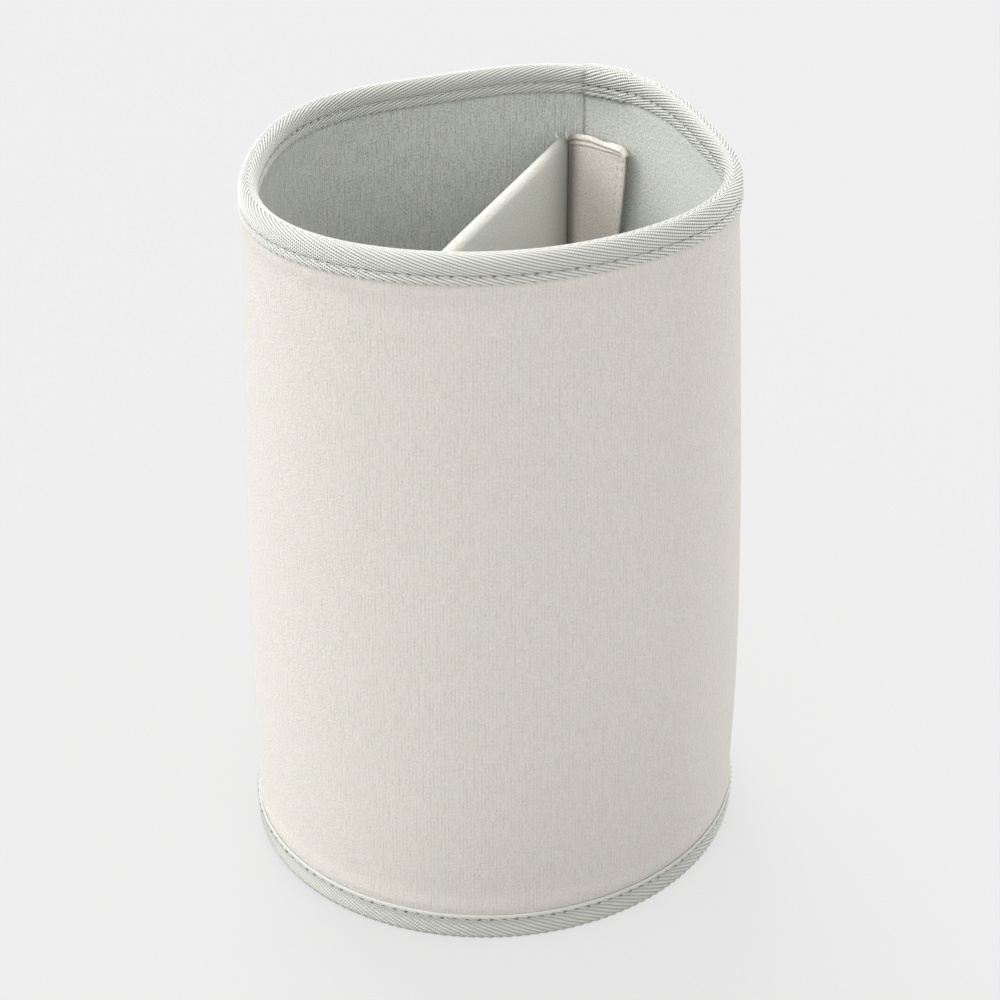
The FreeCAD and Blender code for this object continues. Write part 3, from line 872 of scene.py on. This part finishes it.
def divider_pad():
    """Closed pad: rows run round its cross-section, an upright slot shape, and columns along it.

    At both ends its thickness falls to nothing along a quarter circle, where it is sewn.
    It starts slim, because the padding swells it afterwards.
    """
    slim = 0.35
    half = PANEL / 2 - slim
    crest = DIVIDER_TOP - slim - half
    foot = DIVIDER_LOW + half
    side = np.linspace(foot, crest, PAD_ROWS)
    turn = np.linspace(0, math.pi, 9)[1:-1]
    out = np.concatenate([np.full(PAD_ROWS, -half), -half * np.cos(turn),
                          np.full(PAD_ROWS, half), half * np.cos(turn)])
    up = np.concatenate([side, crest + half * np.sin(turn), side[::-1], foot - half * np.sin(turn)])
    quarter = np.linspace(0, math.pi / 2, 5)
    round_off = 1.3
    swell = np.concatenate([np.sin(quarter), np.ones(PAD_COLUMNS), np.sin(quarter[::-1])])
    inner = np.linspace(0, 1, PAD_COLUMNS + 2)[1:-1]
    y = PANEL_MIDDLE + out[:, None] * swell
    back = panel_reach("back", y) - 0.1
    front = panel_reach("front", y) + 0.1
    drawn_in = round_off * (1 - np.cos(quarter))
    share = np.concatenate([np.zeros(5), inner, np.ones(5)])
    draw = np.concatenate([drawn_in, round_off * (1 - 2 * inner), -drawn_in[::-1]])
    x = back + (front - back) * share + draw
    z = np.broadcast_to(up[:, None] - 0.4 * (up[:, None] > crest) * (1 - swell), x.shape)
    length = walked(out, up)
    u = np.concatenate([x, x[:1]])
    v = np.repeat(length[:, None], x.shape[1], axis=1)
    return grid_mesh("divider_pad", panel_point(x, y, z), u, v, closed=(True, False))


def swell_with_padding(piece, held, pressure, furthest):
    """Blows a piece up with cloth simulation, and caps how far a point may go.

    held are the numbers of the points along its seams. The simulated shape is kept and
    the simulation is taken off.
    """
    mesh = piece.data
    rest = np.empty(3 * len(mesh.vertices))
    mesh.vertices.foreach_get("co", rest)
    rest = rest.reshape(-1, 3)
    seams = piece.vertex_groups.new(name="seams")
    seams.add(held.tolist(), 1.0, "REPLACE")
    cloth = piece.modifiers.new("padding", "CLOTH")
    cloth.settings.quality = 6
    cloth.settings.mass = 0.2
    cloth.settings.tension_stiffness = 8
    cloth.settings.compression_stiffness = 8
    cloth.settings.bending_stiffness = 0.4
    cloth.settings.use_pressure = True
    cloth.settings.uniform_pressure_force = pressure
    cloth.settings.vertex_group_mass = seams.name
    cloth.settings.effector_weights.gravity = 0
    scene = bpy.context.scene
    for number in range(PADDING_FRAMES):
        scene.frame_set(number + 1)
    blown = piece.evaluated_get(bpy.context.evaluated_depsgraph_get()).data
    moved = np.empty(rest.size)
    blown.vertices.foreach_get("co", moved)
    shift = moved.reshape(-1, 3) - rest
    reach = np.linalg.norm(shift, axis=1, keepdims=True)
    shift *= np.minimum(1, furthest * MM / np.maximum(reach, 1e-9))
    piece.modifiers.remove(cloth)
    piece.vertex_groups.remove(seams)
    mesh.vertices.foreach_set("co", (rest + shift).ravel())
    scene.frame_set(1)


def flange_width(z):
    """How far a flange reaches from its hinge: a little less below its top hem."""
    return FLANGE_WIDTH - FLANGE_TRIM - FLANGE_TAPER * ease((FLANGE_TOP - z) / TAPER_HEIGHT)


def flange_mesh(name, end):
    """Doubled strip of cloth with a twice-rolled hem on top and a knob where the hem ends.

    The cross-section is two flat faces with two bell-shaped ridges near the top, rounded
    off by a circle; its columns follow the rim from inside the pad to the free edge.
    """
    down = np.concatenate([1.2 * (1 - np.cos(np.linspace(0, math.pi / 2, 9))),
                           np.arange(1.45, 5.2, 0.25)])
    down = np.append(down, np.linspace(5.6, FLANGE_TOP - DIVIDER_LOW, 52))
    cap = np.sqrt(1 - (1 - np.clip(down / 1.0, 0, 1)) ** 2)
    rolls = [np.exp(-((down - at) / wide) ** 2)
             for at, wide in ((1.0, 0.6), (1.9, 0.25), (2.6, 0.5), (3.4, 0.3))]
    inside = FLANGE / 2 + 0.42 * rolls[0] - 0.2 * rolls[1] + 0.28 * rolls[2] - 0.18 * rolls[3]
    outside = -(FLANGE / 2 + 0.6 * np.exp(-((down - 1.3) / 0.9) ** 2))
    middle = -0.15
    depth = np.concatenate([(middle + (outside - middle) * cap)[::-1],
                            (middle + (inside - middle) * cap)[1:]])
    fall = np.concatenate([down[::-1], down[1:]])
    z = FLANGE_TOP - fall
    share = np.concatenate([np.linspace(0, 0.04, 5)[:-1], np.linspace(0.04, 0.86, 26)[:-1],
                            np.linspace(0.86, 1.0, 12)])[None, :]
    width = flange_width(z)[:, None]
    reach = -FLANGE_TUCK + (width + FLANGE_TUCK) * share
    from_edge = width - reach
    hem = np.exp(-(fall / 3.5) ** 2)[:, None]
    knob = np.exp(-(((from_edge - 5.0) / 3.2) ** 4)) * hem
    from_end = np.minimum(from_edge, reach + FLANGE_TUCK)
    end_round = np.sqrt(1 - (1 - np.clip(from_end / 0.7, 0, 1)) ** 2)
    ripple = 0.12 * np.sin(reach * 0.9 + fall[:, None] * 0.05) * hem
    depth = (middle * hem + (depth[:, None] - middle * hem) * (1 + 0.9 * knob) * end_round
             + ripple * end_round)
    out_of_pad = ease((reach + FLANGE_TUCK) / FLANGE_TUCK)
    droop = (2.4 * ease((reach - 3.0) / 14.0) - 1.0) * hem * out_of_pad
    corner = 1.3 * (1 - ease(from_edge / 3.0)) * hem
    height = z[:, None] + 1.1 * knob - droop - corner - 0.4 * (1 - end_round) * hem
    points = flange_point(end, reach, depth, height)
    length = walked(depth[:, 9], z)
    u = np.repeat(-FLANGE_TUCK + (FLANGE_WIDTH + FLANGE_TUCK) * share, len(z) + 1, axis=0)
    v = np.repeat(length[:, None], reach.shape[1], axis=1)
    return grid_mesh(name, points, u, v, closed=(True, False))


def hook_strip_mesh(name, end):
    """Flat woven strip on the wall side of a flange, with rounded edges."""
    z = np.linspace(HOOK_LOW, HOOK_HIGH, HOOK_ROWS)
    rows = np.concatenate([z, z[::-1]])
    depth = np.repeat([-FLANGE / 2 - HOOK_TAPE, -FLANGE / 2 + 0.1], HOOK_ROWS)
    share = np.linspace(0, 1, HOOK_COLUMNS)[None, :]
    last = np.minimum(FLANGE_WIDTH - HOOK_STRIP_MARGIN, flange_width(rows) - 1.0)[:, None]
    reach = HOOK_STRIP_MARGIN + (last - HOOK_STRIP_MARGIN) * share
    edge = np.sqrt(np.clip(1 - (2 * share - 1) ** 8, 0, 1))
    points = flange_point(end, reach, depth[:, None] * (0.75 + 0.25 * edge), rows[:, None])
    u = np.concatenate([reach, reach[:1]])
    v = np.repeat(np.append(rows, rows[0])[:, None], HOOK_COLUMNS, axis=1)
    return grid_mesh(name, points, u, v, closed=(True, False))


def hook_points(end):
    """Rows of small hooks over a hook strip: middles, directions and outward ways."""
    z, reach = np.meshgrid(np.arange(HOOK_LOW + 1.5, HOOK_HIGH - 1, 2.2),
                           np.arange(4.0, 14.5, 1.45), indexing="ij")
    z, reach = z.ravel(), (reach + 0.7 * (np.arange(len(z)) % 2)[:, None]).ravel()
    face = -FLANGE / 2 - HOOK_TAPE
    middles = flange_point(end, reach, face, z)
    outs = unit(flange_point(end, reach, face - 1.0, z) - middles)
    directions = np.broadcast_to(np.array([0.0, 0.0, 1.0]), middles.shape)
    return middles, directions, outs


def hair_mesh(name, roots, tips, sag, thickness):
    """Loose fibres from roots to tips, bowed by a parabola and thinned to a point."""
    t = np.linspace(0, 1, 6)
    roots, tips = np.array(roots), np.array(tips)
    ways = unit(np.cross(tips - roots, np.array([0.3, 0.2, 1.0])))
    axis = roots[:, None] + (tips - roots)[:, None] * t[None, :, None]
    axis = axis + ways[:, None] * (sag * 4 * t * (1 - t))[None, :, None]
    return thread_mesh(name, axis, ways, thickness * (1.05 - t), 1.0)


# ---------------------------------------------------------------- stage
WHITE = (1.0, 1.0, 1.0, 1.0)
FLOOR_REACH = 12.0          # metres from the middle of the floor to its sides
VIEW_PLACE = (0.0, -0.6911, 0.51365)    # metres
VIEW_TILT = 30.1            # degrees below the horizon
VIEW_TURN = 0.14            # degrees to the right
VIEW_LENS = 90.0            # millimetres, on a sensor of SENSOR
SENSOR = 36.0
LAMPS = (                   # (name, azimuth, elevation, softness, floor left out or lit alone)
    ("key", 175.0, 43.0, 45.0, "EXCLUDE"),
    ("fill", 45.0, 2.0, 8.0, "EXCLUDE"),
    ("front", -108.0, 40.0, 60.0, "EXCLUDE"),
    ("floor", 108.0, 52.0, 35.0, "INCLUDE"),
)


def camera(place_m, tilt, turn, lens):
    """The camera at the photograph's viewpoint."""
    data = bpy.data.cameras.new("view_camera")
    data.lens = lens
    data.sensor_width = SENSOR
    data.clip_start = 0.01
    data.clip_end = 100.0
    made = bpy.data.objects.new("view_camera", data)
    made.location = place_m
    made.rotation_euler = (math.radians(90 - tilt), 0.0, math.radians(-turn))
    bpy.context.scene.collection.objects.link(made)
    bpy.context.scene.camera = made


def sun(name, azimuth, elevation, strength, softness):
    """A soft far lamp that shines from an azimuth and an elevation, all in degrees."""
    data = bpy.data.lights.new(name, "SUN")
    data.energy = strength
    data.angle = math.radians(softness)
    made = bpy.data.objects.new(name, data)
    level = math.cos(math.radians(elevation))
    way = Vector((level * math.cos(math.radians(azimuth)), level * math.sin(math.radians(azimuth)),
                  math.sin(math.radians(elevation))))
    made.location = way
    made.rotation_euler = way.to_track_quat("Z", "Y").to_euler()
    bpy.context.scene.collection.objects.link(made)
    return made


def link_light(lamp, piece, state):
    """Lets a lamp light only one piece (INCLUDE), or everything but that piece (EXCLUDE)."""
    receivers = bpy.data.collections.new(lamp.name + "_receivers")
    receivers.objects.link(piece)
    receivers.collection_objects[0].light_linking.link_state = state
    lamp.light_linking.receiver_collection = receivers


def even_light(low, rise, seen):
    """A white sky that brightens with height, and is plain where the camera sees it."""
    world = bpy.data.worlds.new("even_light")
    world.use_nodes = True
    tree = world.node_tree
    tree.nodes.clear()
    up = add(tree, "SeparateXYZ", (add(tree, "TexCoord", output="Generated"),), 2)
    above = add(tree, "Math", (up, 0.0), operation="MAXIMUM")
    strength = add(tree, "Math", (above, rise, low), operation="MULTIPLY_ADD")
    direct = add(tree, "LightPath", output="Is Camera Ray")
    light = add(tree, "Background", {"Color": WHITE, "Strength": strength})
    plain = add(tree, "Background", {"Color": WHITE, "Strength": seen})
    mixed = add(tree, "MixShader", (direct, light, plain))
    add(tree, "OutputWorld", {"Surface": mixed})
    bpy.context.scene.world = world


def pale_floor(lit, seen, share):
    """Matt white paper sweep, whose shadows the camera sees weakened by a share of plain white."""
    material, tree = new_material("matt_paper_sweep")
    paper = add(tree, "BsdfDiffuse", {"Color": (lit, lit, lit, 1.0), "Roughness": 0.5})
    plain = add(tree, "Emission", {"Color": WHITE, "Strength": seen})
    direct = add(tree, "LightPath", output="Is Camera Ray")
    weight = add(tree, "Math", (direct, share), operation="MULTIPLY")
    add(tree, "OutputMaterial", {"Surface": add(tree, "MixShader", (weight, paper, plain))})
    return material


def strength_setting(name, description, default, **limits):
    """A plain number that isn't below zero."""
    return bpy.props.FloatProperty(name=name, description=description, default=default, min=0.0,
                                   **limits)


def length_setting(name, description, millimetres):
    """A length, given in millimetres and kept in metres."""
    return strength_setting(name, description, millimetres * MM, subtype="DISTANCE", unit="LENGTH")


def colour_setting(name, description, code):
    """A colour, given as an sRGB hex value."""
    return bpy.props.FloatVectorProperty(name=name, description=description, default=linear(code),
                                         size=4, min=0.0, max=1.0, subtype="COLOR")


class HolderLooks(bpy.types.PropertyGroup):
    """Sizes and colours that a user would change."""
    pad_pressure: strength_setting("Padding pressure", "Pressure in the divider", 4.0)
    pad_swell: length_setting("Padding swell", "Furthest that padding pushes out", 0.45)
    dents: length_setting("Dents", "Depth of the soft wall's dents", 0.35)
    cover_colour: colour_setting("Cover", "Colour of the outer cover's knit", "#d6d2cb")
    lining_colour: colour_setting("Lining", "Colour of the ribbed lining", "#d8dbd4")
    divider_colour: colour_setting("Divider", "Colour of the divider's knit", "#dfded6")
    # The flanges' greige is painted lighter than the cover's, to brighten them in the shade inside the
    # mouth.
    flange_colour: colour_setting("Flanges", "Colour of the flanges' knit", "#f1eae2")
    rim_tape_colour: colour_setting("Rim tape", "Colour of the tape over the rim", "#f3f3ec")
    foot_tape_colour: colour_setting("Foot tape", "Colour of the tape round the foot", "#dfe0d8")
    thread_colour: colour_setting("Thread", "Colour of the holder's sewing thread", "#d6d8cf")


class StageLooks(bpy.types.PropertyGroup):
    """Light and floor around the holder."""
    sky_low: strength_setting("Sky, low", "Strength of the sky at the horizon", 0.57)
    sky_rise: strength_setting("Sky, rise", "How much stronger it is overhead", 0.78)
    key_strength: strength_setting("Key lamp", "Strength of the lamp on the left", 2.1)
    fill_strength: strength_setting("Fill lamp", "Strength of the lamp on the right", 0.95)
    front_strength: strength_setting("Front lamp", "Strength of the lamp in front", 0.28)
    floor_strength: strength_setting("Floor lamp", "Strength of the lamp on the floor", 1.8)
    floor_grey: strength_setting("Floor", "How much light the floor gives back", 0.62, max=1.0,
                                 subtype="FACTOR")
    background: strength_setting("Background", "Brightness that the camera sees", 0.882, max=1.0)
    plain_share: strength_setting("Plain share", "How far shadows are weakened", 0.71, max=1.0,
                                  subtype="FACTOR")


class HOLDER_OT_stage(bpy.types.Operator):
    """Adds the floor, the lamps, the world and the camera"""
    bl_idname = "holder.stage"
    bl_label = "Stage"

    def execute(self, context):
        looks = context.scene.holder_stage
        scene = context.scene
        scene.view_settings.view_transform = "Standard"
        corners = [(x * FLOOR_REACH, y * FLOOR_REACH, 0)
                   for x, y in ((-1, -1), (1, -1), (1, 1), (-1, 1))]
        mesh = bpy.data.meshes.new("floor")
        mesh.from_pydata(corners, [], [(0, 1, 2, 3)])
        mesh.materials.append(pale_floor(looks.floor_grey, looks.background, looks.plain_share))
        floor = bpy.data.objects.new("floor", mesh)
        scene.collection.objects.link(floor)
        even_light(looks.sky_low, looks.sky_rise, looks.background)
        for name, azimuth, elevation, softness, state in LAMPS:
            strength = getattr(looks, name + "_strength")
            link_light(sun(name + "_lamp", azimuth, elevation, strength, softness), floor, state)
        camera(VIEW_PLACE, VIEW_TILT, VIEW_TURN, VIEW_LENS)
        return {"FINISHED"}


class HOLDER_OT_hidden_layers(bpy.types.Operator):
    """Gives the foam and the stiffeners their materials"""
    bl_idname = "holder.hidden_layers"
    bl_label = "Foam and stiffeners"

    def execute(self, context):
        for look in ("foam", "board"):
            for layer in ("wall", "base", "divider"):
                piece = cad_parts[f"{layer}_{look}"]
                piece.data.materials.clear()
                piece.data.materials.append(finish(look))
        return {"FINISHED"}


class HOLDER_OT_wall_cloths(bpy.types.Operator):
    """Adds the outer cover and the lining"""
    bl_idname = "holder.wall_cloths"
    bl_label = "Cover and lining"

    def execute(self, context):
        dents = context.scene.holder_looks.dents / MM
        cover = place(wall_cloth("outer_cover_cloth", 0.0, COVER, 0.0, dents, 0.75),
                      finish("cover"), "holder", ["outer_cover"])
        lining = place(wall_cloth("lining_cloth", WALL - LINING, WALL, WALL, 0.5 * dents, 0.4),
                       finish("lining"), "holder", ["wall_lining"])
        for piece, inset, under in ((cover, 0.0, "wall_foam"), (lining, WALL, "wall_board")):
            length = walk(SEAM_AZIMUTH, 360, HEIGHT / 2, inset)[1][-1] * MM
        return {"FINISHED"}


class HOLDER_OT_bindings(bpy.types.Operator):
    """Adds the herringbone tape over the rim and round the foot"""
    bl_idname = "holder.bindings"
    bl_label = "Bindings"

    def execute(self, context):
        for edge, profile, run, swell, doubled, smooth_from in (
                ("rim", rim_tape_profile(), RIM_RIB_RUN, 0.12, JOIN_LENGTH, RIM_SMOOTH_FROM),
                ("foot", foot_tape_profile(), FOOT_RIB_RUN, 0.02, 0.0, FOOT_SMOOTH_FROM)):
            mesh = tape_mesh(edge + "_tape", profile, run, swell, doubled, smooth_from)
            piece = place(mesh, finish(edge + "_tape"), "holder", [edge + "_binding"])
            length = walk(SEAM_AZIMUTH, 360, profile["up"].mean(), 0.0)[1][-1] * MM
        return {"FINISHED"}


class HOLDER_OT_binding_stitches(bpy.types.Operator):
    """Adds the rows of lockstitches on both bindings"""
    bl_idname = "holder.binding_stitches"
    bl_label = "Binding stitches"

    def execute(self, context):
        rows = (round_stitches(RIM_STITCH_OUTSIDE, STITCH_SUNK - TAPE, 1),
                round_stitches(RIM_STITCH_INSIDE, RIM_INNER_INSET - STITCH_SUNK, -1))
        both = [np.concatenate(parts) for parts in zip(*rows)]
        place(stitch_mesh("rim_lockstitches", *both, STITCH_SHOWN), finish("thread"), "holder",
              ["rim_stitches"])
        foot = round_stitches(FOOT_STITCH, STITCH_SUNK - TAPE, 1)
        place(stitch_mesh("foot_lockstitches", *foot, STITCH_SHOWN), finish("thread"), "holder",
              ["foot_stitches"])
        return {"FINISHED"}


class HOLDER_OT_side_seam(bpy.types.Operator):
    """Adds the stitches that close the cover and the lining"""
    bl_idname = "holder.side_seam"
    bl_label = "Side seam"

    def execute(self, context):
        rows = (seam_stitches(SEAM_SUNK, 1), seam_stitches(WALL - SEAM_SUNK, -1))
        both = [np.concatenate(parts) for parts in zip(*rows)]
        place(stitch_mesh("seam_stitches", *both, 2.2, 0.2, 0.1), finish("thread"), "holder",
              ["side_seam_thread"])
        return {"FINISHED"}


class HOLDER_OT_base(bpy.types.Operator):
    """Adds the cloths over and under the base"""
    bl_idname = "holder.base"
    bl_label = "Base cloths"

    def execute(self, context):
        for name, low, high, domed, look, under in (
                ("base_lining_cloth", BASE_LINING_LOW, BASE_LINING_HIGH - 0.35, 0.35, "lining",
                 "base_foam"),
                ("base_cover_cloth", BASE_COVER_LOW, BASE_COVER_HIGH, 0.0, "cover", "base_board")):
            piece = place(disc_mesh(name, low, high, domed), finish(look), "holder",
                          [name.replace("_cloth", "")])
        return {"FINISHED"}


class HOLDER_OT_divider_pad(bpy.types.Operator):
    """Adds the padded panel and its stitches"""
    bl_idname = "holder.divider_pad"
    bl_label = "Divider pad"

    def execute(self, context):
        looks = context.scene.holder_looks
        mesh = divider_pad()
        places = np.empty(3 * len(mesh.vertices))
        mesh.vertices.foreach_get("co", places)
        flat = places.reshape(-1, 3) / MM
        x = (flat[:, :2] - HINGES["back"]) @ PANEL_ALONG
        ends = (x < x.min() + PAD_END_HELD) | (x > x.max() - PAD_END_HELD)
        held = np.flatnonzero(ends | (flat[:, 2] < PANEL_STITCH + 1.0))
        piece = place(mesh, finish("divider"), None,
                      ["divider_cover", "divider_foam"])
        swell_with_padding(piece, held, looks.pad_pressure, looks.pad_swell / MM)
        rounder = piece.modifiers.new("rounder", "SUBSURF")
        rounder.levels = rounder.render_levels = 1
        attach(piece, "divider")
        place(stitch_mesh("panel_lockstitches", *panel_rows(), STITCH_SHOWN), finish("thread"),
              "divider", ["divider_stitches"])
        return {"FINISHED"}


class HOLDER_OT_flanges(bpy.types.Operator):
    """Adds the flanges with their hems, stitches and hook strips"""
    bl_idname = "holder.flanges"
    bl_label = "Flanges"

    def execute(self, context):
        for end in FLANGES:
            leaf = end + "_leaf"
            flange = place(flange_mesh(end + "_flange_cloth", end), finish("flange"), None,
                           [end + "_flange"])
            start, stop = (flange_point(end, at, 0.0, HEIGHT / 2) * MM for at in (-1.0, 1.5))
            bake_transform(flange)
            place(stitch_mesh(end + "_flange_lockstitches", *flange_rows(end), 2.3, 0.2, 0.1),
                  finish("flange_thread"), leaf, [end + "_flange_stitches"])
            place(hook_strip_mesh(end + "_hook_tape", end), finish("hook"), leaf,
                  [end + "_hook_strip"])
            place(stitch_mesh(end + "_hooks", *hook_points(end), 0.9, 0.09, 0.26), finish("hook"),
                  leaf)
        return {"FINISHED"}


class HOLDER_OT_frayed_ends(bpy.types.Operator):
    """Adds the loose fibres at the top corner of the divider"""
    bl_idname = "holder.frayed_ends"
    bl_label = "Frayed ends"

    def execute(self, context):
        top = DIVIDER_TOP - 0.8
        corner = [(1.2, -1.5), (1.3, -1.6), (1.5, -4.9), (1.6, -4.2), (1.4, -2.4)]
        lean = [(0.1, 0.2, 4.0), (-0.2, 0.1, 3.3), (-0.3, -0.9, 3.0), (0.4, -2.1, 1.9),
                (0.9, 0.3, 1.6)]
        roots = [panel_point(np.array(x), np.array(y), np.array(top)) for x, y in corner]
        tips = [panel_point(np.array(x + a), np.array(y + b), np.array(top + c))
                for (x, y), (a, b, c) in zip(corner, lean)]
        place(hair_mesh("frayed_corner", roots, tips, 0.35, 0.2), finish("fibre"), "divider")
        return {"FINISHED"}


class HOLDER_PT_sidebar(bpy.types.Panel):
    """Lists the steps that dress the holder"""
    bl_idname = "HOLDER_PT_sidebar"
    bl_label = "Holder"
    bl_space_type = "VIEW_3D"
    bl_region_type = "UI"
    bl_category = "Holder"

    def draw(self, context):
        for looks in (context.scene.holder_looks, context.scene.holder_stage):
            for name in looks.__annotations__:
                self.layout.prop(looks, name)
        for step in STEPS:
            self.layout.operator(step.bl_idname)


STEPS = (
    HOLDER_OT_stage,
    HOLDER_OT_hidden_layers,
    HOLDER_OT_wall_cloths,
    HOLDER_OT_bindings,
    HOLDER_OT_binding_stitches,
    HOLDER_OT_side_seam,
    HOLDER_OT_base,
    HOLDER_OT_divider_pad,
    HOLDER_OT_flanges,
    HOLDER_OT_frayed_ends,
)
CLASSES = (HolderLooks, StageLooks) + STEPS + (HOLDER_PT_sidebar,)


def register():
    for each in CLASSES:
        bpy.utils.register_class(each)
    bpy.types.Scene.holder_looks = bpy.props.PointerProperty(type=HolderLooks)
    bpy.types.Scene.holder_stage = bpy.props.PointerProperty(type=StageLooks)


def unregister():
    del bpy.types.Scene.holder_stage
    del bpy.types.Scene.holder_looks
    for each in reversed(CLASSES):
        bpy.utils.unregister_class(each)


def main():
    """Runs every step in order."""
    register()
    for step in STEPS:
        group, name = step.bl_idname.split(".")
        getattr(getattr(bpy.ops, group), name)()


if __name__ == "__main__":
    main()
